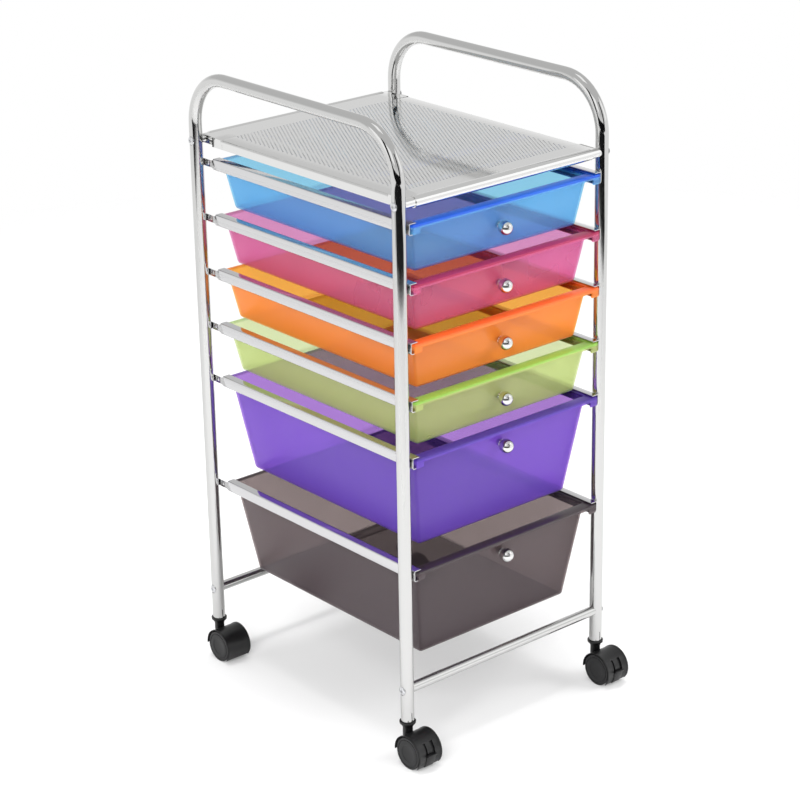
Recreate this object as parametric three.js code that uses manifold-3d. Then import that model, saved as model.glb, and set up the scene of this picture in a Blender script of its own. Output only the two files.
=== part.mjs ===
// A six-drawer rolling cart: two bent tube side frames, channel rails, a sheet tray on top,
// tapered plastic drawers with ball knobs, and four twin-wheel castors. Millimetres, +Z up,
// drawers open towards -Y.
import * as THREE from 'three';
import { mergeVertices } from 'three/addons/utils/BufferGeometryUtils.js';
import ManifoldModule from 'manifold-3d';

// Overall sizes
const overallWidth = 330;
const overallDepth = 391;
const overallHeight = 781;

// Frame tube
const tubeDiameter = 16;
const tubeWall = 1.2;
const bendRadius = 62;
const tubeBottom = 50;
const handleRise = 84;

// Rails: C channels, lips turned inwards
const railHeight = 12;
const railLip = 10;
const railSheet = 0.9;
const railUnderTray = 29;
const lowRailRise = 153;
const railFront = 2.5;
const railRearGap = 21;
const tabHeight = 8.6;
const tabOverlap = 1;

// Top tray
const traySheet = 1;
const trayRollDiameter = 13.5;
const trayFlange = 13;
const trayFieldSide = 31.2;
const trayFieldFront = 20.5;
const trayFieldRear = 39.5;
const trayHoleColumns = 8;
const trayHoleRows = 10;
const trayHoleShare = 0.53;

// Lower bars
const barDiameter = 12.5;
const barHeight = 93;

// Screws
const screwShank = 5;
const screwHead = 9.5;
const screwHeadHeight = 2.6;
const screwSeat = 0.7;
const screwReach = 20;

// Drawers: each small one takes the same share of the stack, and the two deep ones the rest
const smallShare = 70 / 422;
const smallGap = 6;
const deepGap = 16;
const drawerWall = 2;
const smallSideSlope = 0.19;
const deepSideSlope = 0.157;
const endSlope = 0.14;
const cornerRadius = 4.5;
const wallClear = 1.5;
const rimThickness = 1.8;
const rimBand = 5;
const rimReach = 12.5;
const rimOverhang = 7.5;
const rimLip = 6.6;
const footSetback = 6;
const earWidth = 11;
const earDrop = 11;
const fitGap = 0.3;

// Knobs
const knobBall = 17.5;
const knobNeck = 9.5;
const knobStandOff = 10.2;
const knobStud = 4.4;
const knobStudReach = 3;
const knobFoot = 1.3;
const knobDropSmall = 34.7;
const knobDropDeep = 24.6;

// Castors
const wheelDiameter = 40;
const wheelWidth = 13;
const wheelGap = 7;
const castorTrail = 19;
const hoodThickness = 2;
const hoodClearance = 0.8;
const axleDiameter = 6;
const pinDiameter = 8;
const stemDiameter = 11;
const socketFlange = 20;
const socketDepth = 24;
const socketDrop = 5.5;
const socketLip = 2;
const hubWall = 3;
const leverWidth = 14;
const leverToe = 3.4;
const runGap = 0.3;

// Sizes that follow
const tubeRadius = tubeDiameter / 2;
const legX = overallWidth / 2 - tubeRadius;
const legY = overallDepth / 2 - tubeRadius;
const innerX = legX - tubeRadius;
const topZ = overallHeight - tubeRadius;
const rollRadius = trayRollDiameter / 2;
const trayTopZ = overallHeight - handleRise;
const trayRollZ = trayTopZ - rollRadius;
const railEndY = -legY - railFront;
const railRearY = legY - railRearGap;
const railTopZ = trayTopZ - railUnderTray;
const lowRailZ = barHeight + lowRailRise;
const smallPitch = (railTopZ - lowRailZ) * smallShare;
const deepPitch = railTopZ - lowRailZ - 4 * smallPitch;
const railTops = [0, 1, 2, 3, 4].map((step) => railTopZ - step * smallPitch);
railTops.push(lowRailZ);
const wheelRadius = wheelDiameter / 2;
const hoodInner = wheelRadius + hoodClearance;
const hoodOuter = hoodInner + hoodThickness;

// The origin sits on the floor under the middle of the whole outline, castors included.
const frontReach = legY + castorTrail + hoodOuter + leverToe;
const rearReach = legY + socketFlange / 2;
const originShift = (frontReach - rearReach) / 2;

const solids = await ManifoldModule();
solids.setup();

// Finishes
const chrome = new THREE.MeshStandardMaterial({ color: 0xd9dbde, roughness: 0.12, metalness: 1 });
const blackPlastic = new THREE.MeshStandardMaterial({ color: 0x1c1c1d, roughness: 0.45, metalness: 0 });
const wheelPlastic = new THREE.MeshStandardMaterial({ color: 0x2a2a2b, roughness: 0.55, metalness: 0 });
const steel = new THREE.MeshStandardMaterial({ color: 0xb9bcc0, roughness: 0.3, metalness: 1 });
const drawerColours = [0x2f7fd6, 0xc9386b, 0xf5761f, 0x9cc95a, 0x6a3fb0, 0x574c4f];
const drawerFinishes = drawerColours.map(
  (colour) => new THREE.MeshStandardMaterial({ color: colour, roughness: 0.3, metalness: 0 }),
);

const group = new THREE.Group();
group.name = 'drawer_cart';
const cart = new THREE.Group();
cart.position.y = originShift;
group.add(cart);

function addGroup(home, x, y, z) {
  const inner = new THREE.Group();
  inner.position.set(x, y, z);
  home.add(inner);
  return inner;
}

function addPart(home, name, geometry, material) {
  const mesh = new THREE.Mesh(geometry, material);
  mesh.name = name;
  home.add(mesh);
  return mesh;
}

// Boolean helpers: three.js makes every shape, the solid library only joins and cuts them.
function toSolid(geometry) {
  const bare = new THREE.BufferGeometry();
  bare.setAttribute('position', geometry.getAttribute('position').clone());
  if (geometry.index) {
    bare.setIndex(geometry.index.clone());
  }
  const welded = mergeVertices(bare, 1e-4);
  return new solids.Manifold(new solids.Mesh({
    numProp: 3,
    vertProperties: new Float32Array(welded.getAttribute('position').array),
    triVerts: new Uint32Array(welded.index.array),
  }));
}

function toGeometry(solid) {
  const mesh = solid.getMesh();
  const geometry = new THREE.BufferGeometry();
  const points = new Float32Array(mesh.numVert * 3);
  for (let i = 0; i < mesh.numVert; i += 1) {
    for (let k = 0; k < 3; k += 1) {
      points[i * 3 + k] = mesh.vertProperties[i * mesh.numProp + k];
    }
  }
  geometry.setAttribute('position', new THREE.BufferAttribute(points, 3));
  geometry.setIndex(new THREE.BufferAttribute(new Uint32Array(mesh.triVerts), 1));
  geometry.computeVertexNormals();
  return geometry;
}

function join(...geometries) {
  return geometries.map(toSolid).reduce((sum, next) => sum.add(next));
}

function cut(solid, ...geometries) {
  return geometries.map(toSolid).reduce((rest, next) => rest.subtract(next), solid);
}

function block(x0, x1, y0, y1, z0, z1) {
  const geometry = new THREE.BoxGeometry(x1 - x0, y1 - y0, z1 - z0);
  return geometry.translate((x0 + x1) / 2, (y0 + y1) / 2, (z0 + z1) / 2);
}

function rodX(radius, x0, x1, y, z, sides = 24) {
  const geometry = new THREE.CylinderGeometry(radius, radius, Math.abs(x1 - x0), sides);
  return geometry.rotateZ(Math.PI / 2).translate((x0 + x1) / 2, y, z);
}

function rodZ(radius, z0, z1, x, y, sides = 24) {
  const geometry = new THREE.CylinderGeometry(radius, radius, z1 - z0, sides);
  return geometry.rotateX(Math.PI / 2).translate(x, y, (z0 + z1) / 2);
}

function turned(profile, sides = 24) {
  const points = profile.map(([radius, along]) => new THREE.Vector2(radius, along));
  return new THREE.LatheGeometry(points, sides);
}

// Side frames: one tube each, bent into an upside-down U whose top is the handle.
class FrameLine extends THREE.Curve {
  constructor() {
    super();
    const arcSteps = 9;
    const stops = [[legY, tubeBottom]];
    for (let i = 0; i <= arcSteps; i += 1) {
      const turn = (Math.PI / 2) * (i / arcSteps);
      stops.push([
        legY - bendRadius + bendRadius * Math.cos(turn),
        topZ - bendRadius + bendRadius * Math.sin(turn),
      ]);
    }
    const mirrored = stops.slice().reverse().map(([y, z]) => [-y, z]);
    this.stops = stops.concat(mirrored).map(([y, z]) => new THREE.Vector3(0, y, z));
    this.steps = this.stops.length - 1;
  }

  getPoint(t, target = new THREE.Vector3()) {
    const place = Math.min(this.steps - 1e-9, Math.max(0, t * this.steps));
    const first = Math.floor(place);
    return target.lerpVectors(this.stops[first], this.stops[first + 1], place - first);
  }

  getPointAt(u, target) {
    return this.getPoint(u, target);
  }

  getTangentAt(u, target = new THREE.Vector3()) {
    const place = Math.round(u * this.steps);
    const before = this.stops[Math.max(0, place - 1)];
    const here = this.stops[place];
    const after = this.stops[Math.min(this.steps, place + 1)];
    const arriving = here.clone().sub(before).normalize();
    const leaving = after.clone().sub(here).normalize();
    return target.copy(arriving).add(leaving).normalize();
  }
}

// The screw seats are on the tube's +X side, the outer side of the right frame.
function frameTube() {
  const ring = new THREE.Shape();
  ring.absarc(0, 0, tubeRadius, 0, Math.PI * 2, false);
  const bore = new THREE.Path();
  bore.absarc(0, 0, tubeRadius - tubeWall, 0, Math.PI * 2, true);
  ring.holes.push(bore);
  const line = new FrameLine();
  const tube = new THREE.ExtrudeGeometry(ring, {
    steps: line.steps,
    extrudePath: line,
    bevelEnabled: false,
    curveSegments: 8,
  });
  const past = tubeRadius + screwHeadHeight;
  const cuts = [];
  for (const y of [-legY, legY]) {
    for (const z of [barHeight, trayRollZ]) {
      cuts.push(rodX(screwShank / 2 + fitGap, -past, past, y, z, 12));
      cuts.push(rodX(screwHead / 2 + fitGap, tubeRadius - screwSeat, past, y, z, 16));
    }
  }
  return toGeometry(cut(toSolid(tube), ...cuts));
}

const rightTube = addPart(cart, 'right_frame_tube', frameTube(), chrome);
rightTube.position.x = legX;
const leftTube = addPart(cart, 'left_frame_tube', frameTube(), chrome);
leftTube.position.x = -legX;
leftTube.rotation.z = Math.PI;

// Rails: folded channels on the legs' inner sides; the rear end is a flat tab welded to the leg.
// The web's outer face is at x = 0 and the lips turn to -x, as on the right side; half a turn about
// y makes the left one.
function rail() {
  const half = railHeight / 2;
  const tabEnd = legY + tubeRadius / 4;
  return toGeometry(join(
    block(-railSheet, 0, railEndY, railRearY, -half, half),
    block(-railLip, 0, railEndY, railRearY, half - railSheet, half),
    block(-railLip, 0, railEndY, railRearY, -half, -half + railSheet),
    block(-railSheet, 0, railRearY - tabOverlap, tabEnd, -tabHeight / 2, tabHeight / 2),
  ));
}

railTops.forEach((top, index) => {
  const middle = top - railHeight / 2;
  const left = addPart(cart, `left_rail_${index + 1}`, rail(), chrome);
  left.position.set(-innerX, 0, middle);
  left.rotation.y = Math.PI;
  const right = addPart(cart, `right_rail_${index + 1}`, rail(), chrome);
  right.position.set(innerX, 0, middle);
});

// A cross piece runs from leg to leg: its ends are hollowed to sit against the tubes and drilled for
// a screw. Both cuts are made at its own y and at z = 0.
function endCuts(y) {
  const reach = tubeRadius * 2;
  const cuts = [];
  for (const side of [-1, 1]) {
    cuts.push(rodZ(tubeRadius + fitGap / 2, -reach, reach, side * legX, y, 32));
    cuts.push(rodX(screwShank / 2 + fitGap, side * (innerX - screwReach), side * legX, y, 0, 12));
  }
  return cuts;
}

// A plain grid of openings stands for the tray's many small punched holes, with the same open share.
function trayHoles(half) {
  const pitchX = (2 * (half - trayFieldSide)) / trayHoleColumns;
  const pitchY = (2 * legY - trayFieldFront - trayFieldRear) / trayHoleRows;
  const openX = (pitchX * trayHoleShare) / 2;
  const openY = (pitchY * trayHoleShare) / 2;
  const holes = [];
  for (let column = 0; column < trayHoleColumns; column += 1) {
    const x = trayFieldSide - half + (column + 0.5) * pitchX;
    for (let row = 0; row < trayHoleRows; row += 1) {
      const y = trayFieldFront - legY + (row + 0.5) * pitchY;
      const low = rollRadius - 2 * traySheet;
      holes.push(block(x - openX, x + openX, y - openY, y + openY, low, rollRadius + traySheet));
    }
  }
  return holes;
}

// Top tray: sheet pressed with side flanges, its front and rear edges rolled into round bars.
function topTray() {
  const half = innerX - fitGap;
  const flangeLow = rollRadius - trayFlange;
  const tabLow = flangeLow + (trayFlange - tabHeight) / 2;
  const shapes = [block(-half, half, -legY, legY, rollRadius - traySheet, rollRadius)];
  for (const side of [-1, 1]) {
    const spanX = [side * half, side * (half - traySheet)].sort((a, b) => a - b);
    shapes.push(block(spanX[0], spanX[1], -legY, railRearY, flangeLow, rollRadius));
    shapes.push(block(spanX[0], spanX[1], railRearY - tabOverlap, legY, tabLow, rollRadius));
  }
  for (const y of [-legY, legY]) {
    shapes.push(rodX(rollRadius, -legX, legX, y, 0, 24));
  }
  const cuts = [...endCuts(-legY), ...endCuts(legY), ...trayHoles(half)];
  return toGeometry(cut(join(...shapes), ...cuts));
}

addPart(cart, 'top_tray', topTray(), chrome).position.z = trayRollZ;

// Lower bars: round bars between the legs.
function lowerBar() {
  const bar = toSolid(rodX(barDiameter / 2, -legX, legX, 0, 0, 24));
  return toGeometry(cut(bar, ...endCuts(0)));
}

addPart(cart, 'front_lower_bar', lowerBar(), chrome).position.set(0, -legY, barHeight);
addPart(cart, 'rear_lower_bar', lowerBar(), chrome).position.set(0, legY, barHeight);

// Screws: one through each leg into the end of each bar and tray roll, turned about y, head up.
function screw() {
  const crown = screwHeadHeight;
  const length = tubeDiameter - screwSeat + screwReach - 2;
  return turned([
    [0, -length],
    [screwShank / 2, -length],
    [screwShank / 2, 0],
    [screwHead / 2, 0],
    [screwHead / 2, crown * 0.4],
    [screwHead * 0.36, crown * 0.85],
    [0, crown],
  ], 12);
}

for (const [sideName, side] of [['left', -1], ['right', 1]]) {
  for (const [endName, y] of [['front', -legY], ['rear', legY]]) {
    for (const [kind, z] of [['tray', trayRollZ], ['bar', barHeight]]) {
      const mesh = addPart(cart, `${endName}_${sideName}_${kind}_screw`, screw(), steel);
      mesh.position.set(side * (legX + tubeRadius - screwSeat), y, z);
      mesh.rotation.z = -side * Math.PI / 2;
    }
  }
}

// Drawers: tapered tubs with a rim that runs in the rails, drawn with z = 0 at the rail's top.
function tub(halfTop, frontTop, rearTop, zTop, zLow, sideSlope, radius) {
  const rings = [zLow, zTop].map((z) => {
    const drop = zTop - z;
    const half = halfTop - drop * sideSlope;
    const front = frontTop + drop * endSlope;
    const rear = rearTop - drop * endSlope;
    const corners = [
      [half - radius, rear - radius, 0],
      [-half + radius, rear - radius, 1],
      [-half + radius, front + radius, 2],
      [half - radius, front + radius, 3],
    ];
    const ring = [];
    for (const [x, y, quarter] of corners) {
      for (let i = 0; i <= 5; i += 1) {
        const turn = (quarter + i / 5) * Math.PI / 2;
        ring.push([x + radius * Math.cos(turn), y + radius * Math.sin(turn), z]);
      }
    }
    return ring;
  });
  const count = rings[0].length;
  const points = rings.flat().flat();
  const faces = [];
  for (let i = 0; i < count; i += 1) {
    const next = (i + 1) % count;
    faces.push(i, next, count + next, i, count + next, count + i);
  }
  for (let i = 1; i < count - 1; i += 1) {
    faces.push(0, i + 1, i, count, count + i, count + i + 1);
  }
  const geometry = new THREE.BufferGeometry();
  geometry.setAttribute('position', new THREE.Float32BufferAttribute(points, 3));
  geometry.setIndex(faces);
  return geometry;
}

const flangeX = innerX - railSheet - 2 * fitGap;
const earX = flangeX - 1;
const bodyX = innerX - railLip - wallClear;
const bandFront = railEndY - rimOverhang;
const bodyFront = bandFront + rimReach;
const bodyRear = railRearY + tabOverlap;
const drawerTop = -railSheet - fitGap;

function drawer(deep) {
  const drop = deep ? deepPitch - deepGap : smallPitch - smallGap;
  const slope = deep ? deepSideSlope : smallSideSlope;
  const outer = tub(bodyX, bodyFront, bodyRear, drawerTop, -drop, slope, cornerRadius);
  const inner = tub(
    bodyX - drawerWall + drawerWall * slope,
    bodyFront + drawerWall - drawerWall * endSlope,
    bodyRear - drawerWall + drawerWall * endSlope,
    drawerTop + drawerWall,
    drawerWall - drop,
    slope,
    cornerRadius - drawerWall,
  );
  const rimLow = drawerTop - rimThickness;
  const footLow = railSheet + fitGap - railHeight;
  const lipFront = railEndY + fitGap;
  const shapes = [outer];
  shapes.push(block(-flangeX, flangeX, lipFront, bodyRear, rimLow, drawerTop));
  shapes.push(block(-earX, earX, bandFront, bodyFront + drawerWall, rimLow, drawerTop));
  const bandRear = bandFront + rimThickness;
  shapes.push(block(-earX, earX, bandFront, bandRear, drawerTop - rimBand, drawerTop));
  for (const side of [-1, 1]) {
    const lipX = [side * flangeX, side * (flangeX - rimThickness)].sort((a, b) => a - b);
    const tabX = [side * earX, side * (earX - earWidth)].sort((a, b) => a - b);
    shapes.push(block(lipX[0], lipX[1], lipFront, bodyRear, drawerTop - rimLip, drawerTop));
    shapes.push(block(lipX[0], lipX[1], lipFront + footSetback, bodyRear, footLow, drawerTop));
    shapes.push(block(tabX[0], tabX[1], bandFront, bandRear, drawerTop - earDrop, drawerTop));
  }
  const knob = knobPlace(deep);
  const hole = new THREE.CylinderGeometry(
    knobStud / 2 + fitGap,
    knobStud / 2 + fitGap,
    drawerWall * 8,
    12,
  );
  hole.rotateX(knob.tilt).translate(0, knob.y, knob.z);
  return toGeometry(cut(join(...shapes), inner, hole));
}

// Each knob stands square on the sloping front wall.
function knobPlace(deep) {
  const z = deep ? -knobDropDeep : -knobDropSmall;
  return { y: bodyFront + (drawerTop - z) * endSlope, z, tilt: Math.atan(endSlope) };
}

function ballKnob() {
  const radius = knobBall / 2;
  const neck = knobNeck / 2;
  const waist = neck * 0.8;
  const studEnd = -drawerWall - knobStudReach;
  const profile = [[0, studEnd], [knobStud / 2, studEnd], [knobStud / 2, fitGap]];
  profile.push([neck, fitGap], [neck, knobFoot], [waist, knobFoot + fitGap]);
  const startTurn = Math.asin(waist / radius);
  const arcSteps = 7;
  for (let i = 0; i <= arcSteps; i += 1) {
    const turn = startTurn + (Math.PI - startTurn) * (i / arcSteps);
    const width = i === arcSteps ? 0 : radius * Math.sin(turn);
    profile.push([width, knobStandOff - radius * Math.cos(turn)]);
  }
  return turned(profile, 16);
}

railTops.forEach((top, index) => {
  const deep = index > 3;
  const slide = addGroup(cart, 0, 0, top);
  addPart(slide, `drawer_${index + 1}`, drawer(deep), drawerFinishes[index]);
  const place = knobPlace(deep);
  const knob = addPart(slide, `knob_${index + 1}`, ballKnob(), chrome);
  knob.position.set(0, place.y, place.z);
  knob.rotation.x = Math.PI + place.tilt;
});

// Castors: a plastic socket pressed into each leg, a swivelling hood, an axle and two wheels.
const hoodHalf = wheelGap / 2 + runGap + wheelWidth + 1;
const socketFoot = tubeBottom - socketDrop;
const pinTop = tubeBottom + socketDepth - 2;

// The socket is turned about y, which becomes the leg's axis.
function socket() {
  const bore = pinDiameter / 2 + runGap;
  const plug = tubeRadius - tubeWall - fitGap / 2;
  const flange = socketFlange / 2;
  const lip = tubeRadius + fitGap;
  return turned([
    [bore, socketFoot],
    [flange * 0.72, socketFoot],
    [flange * 0.93, socketFoot + 2],
    [flange, tubeBottom + socketLip],
    [lip, tubeBottom + socketLip],
    [lip, tubeBottom - fitGap],
    [plug, tubeBottom - fitGap],
    [plug, tubeBottom + socketDepth - 2],
    [plug - 1, tubeBottom + socketDepth],
    [bore, tubeBottom + socketDepth],
    [bore, socketFoot],
  ], 18);
}

// An arc of plate round the axle, drawn with the axle along x at the origin. Angles start level in
// front of the axle and rise.
function arcPlate(inner, outer, from, to, half, steps) {
  const shape = new THREE.Shape();
  for (let i = 0; i <= steps; i += 1) {
    const turn = from + (to - from) * (i / steps);
    const point = [outer * Math.cos(turn), outer * Math.sin(turn)];
    if (i === 0) {
      shape.moveTo(...point);
    } else {
      shape.lineTo(...point);
    }
  }
  for (let i = steps; i >= 0; i -= 1) {
    const turn = from + (to - from) * (i / steps);
    shape.lineTo(inner * Math.cos(turn), inner * Math.sin(turn));
  }
  shape.closePath();
  const geometry = new THREE.ExtrudeGeometry(shape, { depth: half * 2, bevelEnabled: false });
  const basis = new THREE.Matrix4().makeBasis(
    new THREE.Vector3(0, -1, 0),
    new THREE.Vector3(0, 0, 1),
    new THREE.Vector3(-1, 0, 0),
  );
  return geometry.applyMatrix4(basis).translate(half, 0, 0);
}

const hoodFrom = THREE.MathUtils.degToRad(-40);
const hoodTo = THREE.MathUtils.degToRad(184);
const leverFrom = THREE.MathUtils.degToRad(2);
const leverTo = THREE.MathUtils.degToRad(46);
const leverHalf = leverWidth / 2;

// The hood's cover runs from level with the axle behind, over the top, to low in front.
function hood(braked) {
  const webHalf = wheelGap / 2;
  const stemTop = socketFoot - runGap - wheelRadius;
  const stemLow = hoodInner * 0.3;
  const shell = arcPlate(hoodInner, hoodOuter, hoodFrom, hoodTo, hoodHalf, 18);
  const web = arcPlate(2, hoodInner + 1, hoodFrom, hoodTo, webHalf, 18);
  const hub = rodX(axleDiameter / 2 + hubWall, -webHalf, webHalf, 0, 0, 14);
  const stem = rodZ(stemDiameter / 2, stemLow, stemTop, 0, castorTrail, 16);
  const pin = rodZ(pinDiameter / 2, stemLow + 2, pinTop - wheelRadius, 0, castorTrail, 12);
  const wheelRoom = [-1, 1].map(
    (side) => rodX(hoodInner - 0.2, side * webHalf, side * hoodHalf, 0, 0, 28),
  );
  const axleHole = rodX(axleDiameter / 2 + fitGap / 2, -hoodHalf, hoodHalf, 0, 0, 12);
  const solid = cut(join(shell, web, hub, stem, pin), ...wheelRoom, axleHole);
  if (!braked) {
    return toGeometry(solid);
  }
  const slack = 1 / hoodOuter;
  const pocket = arcPlate(
    hoodInner - 3,
    hoodOuter + 4,
    leverFrom - slack,
    leverTo + slack,
    leverHalf + runGap,
    8,
  );
  return toGeometry(cut(solid, pocket));
}

function axle() {
  const length = wheelGap + 2 * wheelWidth - 4;
  return new THREE.CylinderGeometry(axleDiameter / 2, axleDiameter / 2, length, 16);
}

// A wheel is turned about y, with the hood's web below it.
function wheel() {
  const near = wheelGap / 2 + runGap;
  const far = near + wheelWidth;
  const bore = axleDiameter / 2 + runGap;
  return turned([
    [bore, near],
    [wheelRadius - 1.2, near],
    [wheelRadius, near + 1.2],
    [wheelRadius, far - 1.6],
    [wheelRadius - 1.6, far],
    [0, far],
    [0, far - 2],
    [bore, far - 2],
    [bore, near],
  ], 28);
}

function brakeLever() {
  const plate = arcPlate(hoodInner + 0.2, hoodOuter + 0.6, leverFrom, leverTo, leverHalf, 8);
  const toeTo = leverFrom + leverToe / hoodOuter * 0.8;
  const toe = arcPlate(hoodOuter, hoodOuter + leverToe, leverFrom, toeTo, leverHalf, 2);
  return toGeometry(join(plate, toe));
}

for (const [endName, y] of [['front', -legY], ['rear', legY]]) {
  for (const [sideName, x] of [['left', -legX], ['right', legX]]) {
    const name = `${endName}_${sideName}_castor`;
    const braked = endName === 'front';
    const castor = addGroup(cart, x, y, 0);
    addPart(castor, `${name}_socket`, socket(), blackPlastic).rotation.x = Math.PI / 2;
    const wheelSet = addGroup(castor, 0, -castorTrail, wheelRadius);
    addPart(wheelSet, `${name}_hood`, hood(braked), blackPlastic);
    addPart(wheelSet, `${name}_axle`, axle(), steel).rotation.z = Math.PI / 2;
    addPart(wheelSet, `${name}_left_wheel`, wheel(), wheelPlastic).rotation.z = Math.PI / 2;
    addPart(wheelSet, `${name}_right_wheel`, wheel(), wheelPlastic).rotation.z = -Math.PI / 2;
    if (braked) {
      addPart(wheelSet, `${name}_brake_lever`, brakeLever(), blackPlastic);
    }
  }
}

export default group;
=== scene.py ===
import math

import bmesh
import bpy
from mathutils import Matrix, Vector


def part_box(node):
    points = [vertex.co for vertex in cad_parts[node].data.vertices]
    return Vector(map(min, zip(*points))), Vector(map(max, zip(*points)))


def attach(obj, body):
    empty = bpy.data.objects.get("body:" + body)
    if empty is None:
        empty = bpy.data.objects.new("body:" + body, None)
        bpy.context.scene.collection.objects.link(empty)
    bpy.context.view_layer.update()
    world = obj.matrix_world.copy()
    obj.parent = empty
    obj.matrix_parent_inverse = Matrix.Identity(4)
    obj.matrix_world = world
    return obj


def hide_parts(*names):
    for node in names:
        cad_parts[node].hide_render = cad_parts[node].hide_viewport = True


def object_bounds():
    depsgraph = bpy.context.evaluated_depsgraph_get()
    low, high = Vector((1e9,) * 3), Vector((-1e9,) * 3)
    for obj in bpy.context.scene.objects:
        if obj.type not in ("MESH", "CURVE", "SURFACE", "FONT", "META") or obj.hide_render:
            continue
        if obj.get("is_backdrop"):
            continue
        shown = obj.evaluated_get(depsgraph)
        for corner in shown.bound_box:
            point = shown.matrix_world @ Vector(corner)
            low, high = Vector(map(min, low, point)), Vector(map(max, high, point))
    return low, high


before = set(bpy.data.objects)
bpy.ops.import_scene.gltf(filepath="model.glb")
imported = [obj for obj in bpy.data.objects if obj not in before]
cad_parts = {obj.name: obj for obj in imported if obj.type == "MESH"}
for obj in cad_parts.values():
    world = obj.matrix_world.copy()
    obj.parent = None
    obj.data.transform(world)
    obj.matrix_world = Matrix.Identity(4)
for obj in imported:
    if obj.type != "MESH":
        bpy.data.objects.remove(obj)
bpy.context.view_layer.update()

# Side frames: two 16 mm steel tubes, each bent into an upside-down U whose top is the handle.
# They are polished and chrome plated, so they mirror the white room in long, crisp streaks.
# Every other piece is screwed, welded or plugged to them.
TUBE_RADIUS = 0.008
TUBE_WALL = 0.0012
TUBE_SIDES = 40
BEND_RADIUS = 0.062
BEND_STEPS = 14
SLIT_WIDTH = 0.0009
SLIT_DEPTH = 0.006
SLIT_LOW = 0.002
SLIT_HIGH = 0.014
SCREW_SEAT_RADIUS = 0.0058
SCREW_SEAT_DEPTH = 0.0007
CUT_OVERSHOOT = 0.002
CHROME = "d3d3d2"


def node_corners(node):
    """The low and high corner of a CAD node's box."""
    return [Vector(corner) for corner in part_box(node)]


def colour(text):
    """An sRGB hex colour as linear red, green, blue and alpha."""
    parts = [int(text[i:i + 2], 16) / 255 for i in (0, 2, 4)]
    return [p / 12.92 if p <= 0.04045 else ((p + 0.055) / 1.055) ** 2.4 for p in parts] + [1.0]


def add_node(tree, kind, settings=None, links=None):
    """Adds a node, sets its values and links other nodes' sockets into its inputs, by name or number."""
    node = tree.nodes.new(kind)
    for key, value in (settings or {}).items():
        if isinstance(key, int) or key in node.inputs:
            node.inputs[key].default_value = value
        else:
            setattr(node, key, value)
    for key, source in (links or {}).items():
        tree.links.new(source, node.inputs[key])
    return node


def new_material(name):
    """An empty node material and its tree, with the output node's surface socket."""
    material = bpy.data.materials.new(name)
    material.use_nodes = True
    material.node_tree.nodes.clear()
    output = material.node_tree.nodes.new("ShaderNodeOutputMaterial")
    return material, material.node_tree, output.inputs["Surface"]


def plated_metal(name, tone, smooth, rough, grain_mm, detail):
    """Plated steel, whose gloss wanders between two roughnesses in patches of the given size."""
    material, tree, surface = new_material(name)
    place = add_node(tree, "ShaderNodeTexCoord")
    grain = add_node(
        tree, "ShaderNodeTexNoise", {"Scale": 1000 / grain_mm, "Detail": detail},
        {"Vector": place.outputs["Object"]},
    )
    gloss = add_node(
        tree, "ShaderNodeMapRange", {"To Min": smooth, "To Max": rough}, {"Value": grain.outputs["Fac"]},
    )
    plate = add_node(
        tree, "ShaderNodeBsdfPrincipled", {"Base Color": colour(tone), "Metallic": 1.0},
        {"Roughness": gloss.outputs["Result"]},
    )
    tree.links.new(plate.outputs["BSDF"], surface)
    return material


def start_piece():
    """Leaves edit mode and deselects everything, so that an operator meets only the new piece."""
    if bpy.context.object and bpy.context.object.mode != "OBJECT":
        bpy.ops.object.mode_set(mode="OBJECT")
    bpy.ops.object.select_all(action="DESELECT")


def take_up(piece):
    """Makes one piece the only selected and active one."""
    start_piece()
    bpy.context.view_layer.objects.active = piece
    piece.select_set(True)


def face_outwards():
    """In edit mode, merges doubles and turns every face outwards."""
    bpy.ops.mesh.select_all(action="SELECT")
    bpy.ops.mesh.remove_doubles(threshold=1e-6)
    bpy.ops.mesh.normals_make_consistent(inside=False)


def apply_modifier(kind, **settings):
    """Adds a modifier to the active piece and applies it."""
    modifier = bpy.context.object.modifiers.new(kind.lower(), kind)
    for key, value in settings.items():
        setattr(modifier, key, value)
    bpy.ops.object.modifier_apply(modifier=modifier.name)


def carve(piece, cutters):
    """Cuts each cutter out of the piece and removes the cutters."""
    for cutter in cutters:
        take_up(piece)
        apply_modifier("BOOLEAN", operation="DIFFERENCE", solver="EXACT", object=cutter)
        bpy.data.objects.remove(cutter)


def settle(piece, name, body, material, slot, *nodes, angle=40):
    """Names a finished piece, smooths it, gives it its finish, ties it to its body and hides the CAD nodes
    it stands for.
    """
    take_up(piece)
    bpy.ops.object.transform_apply(location=True, rotation=True, scale=True)
    bpy.ops.object.shade_smooth_by_angle(angle=math.radians(angle))
    piece.name = name
    piece.data.name = name
    piece.data.materials.clear()
    piece.data.materials.append(material)
    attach(piece, body)
    if nodes:
        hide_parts(*nodes)


def copy_of(piece, offset, mirror=False):
    """A copy with its own mesh, mirrored left to right if asked, and then moved."""
    twin = piece.copy()
    twin.data = piece.data.copy()
    twin.parent = None
    twin.matrix_world = Matrix()
    bpy.context.scene.collection.objects.link(twin)
    if mirror:
        twin.data.transform(Matrix.Scale(-1, 4, Vector((1, 0, 0))))
        twin.data.flip_normals()
    twin.data.transform(Matrix.Translation(offset))
    return twin


def rod(radius, start, end, sides=32):
    """A plain round rod between two points, as a cutter or a blank."""
    start_piece()
    along = Vector(end) - Vector(start)
    turn = along.to_track_quat("Z", "Y").to_euler()
    bpy.ops.mesh.primitive_cylinder_add(
        vertices=sides, radius=radius, depth=along.length,
        location=(Vector(start) + Vector(end)) / 2, rotation=turn,
    )
    return bpy.context.object


def box(low, high):
    """A box between two corners, as a cutter or a blank."""
    start_piece()
    low, high = Vector(low), Vector(high)
    bpy.ops.mesh.primitive_cube_add(size=1, location=(low + high) / 2)
    bpy.context.object.scale = high - low
    bpy.ops.object.transform_apply(location=True, rotation=True, scale=True)
    return bpy.context.object


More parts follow.
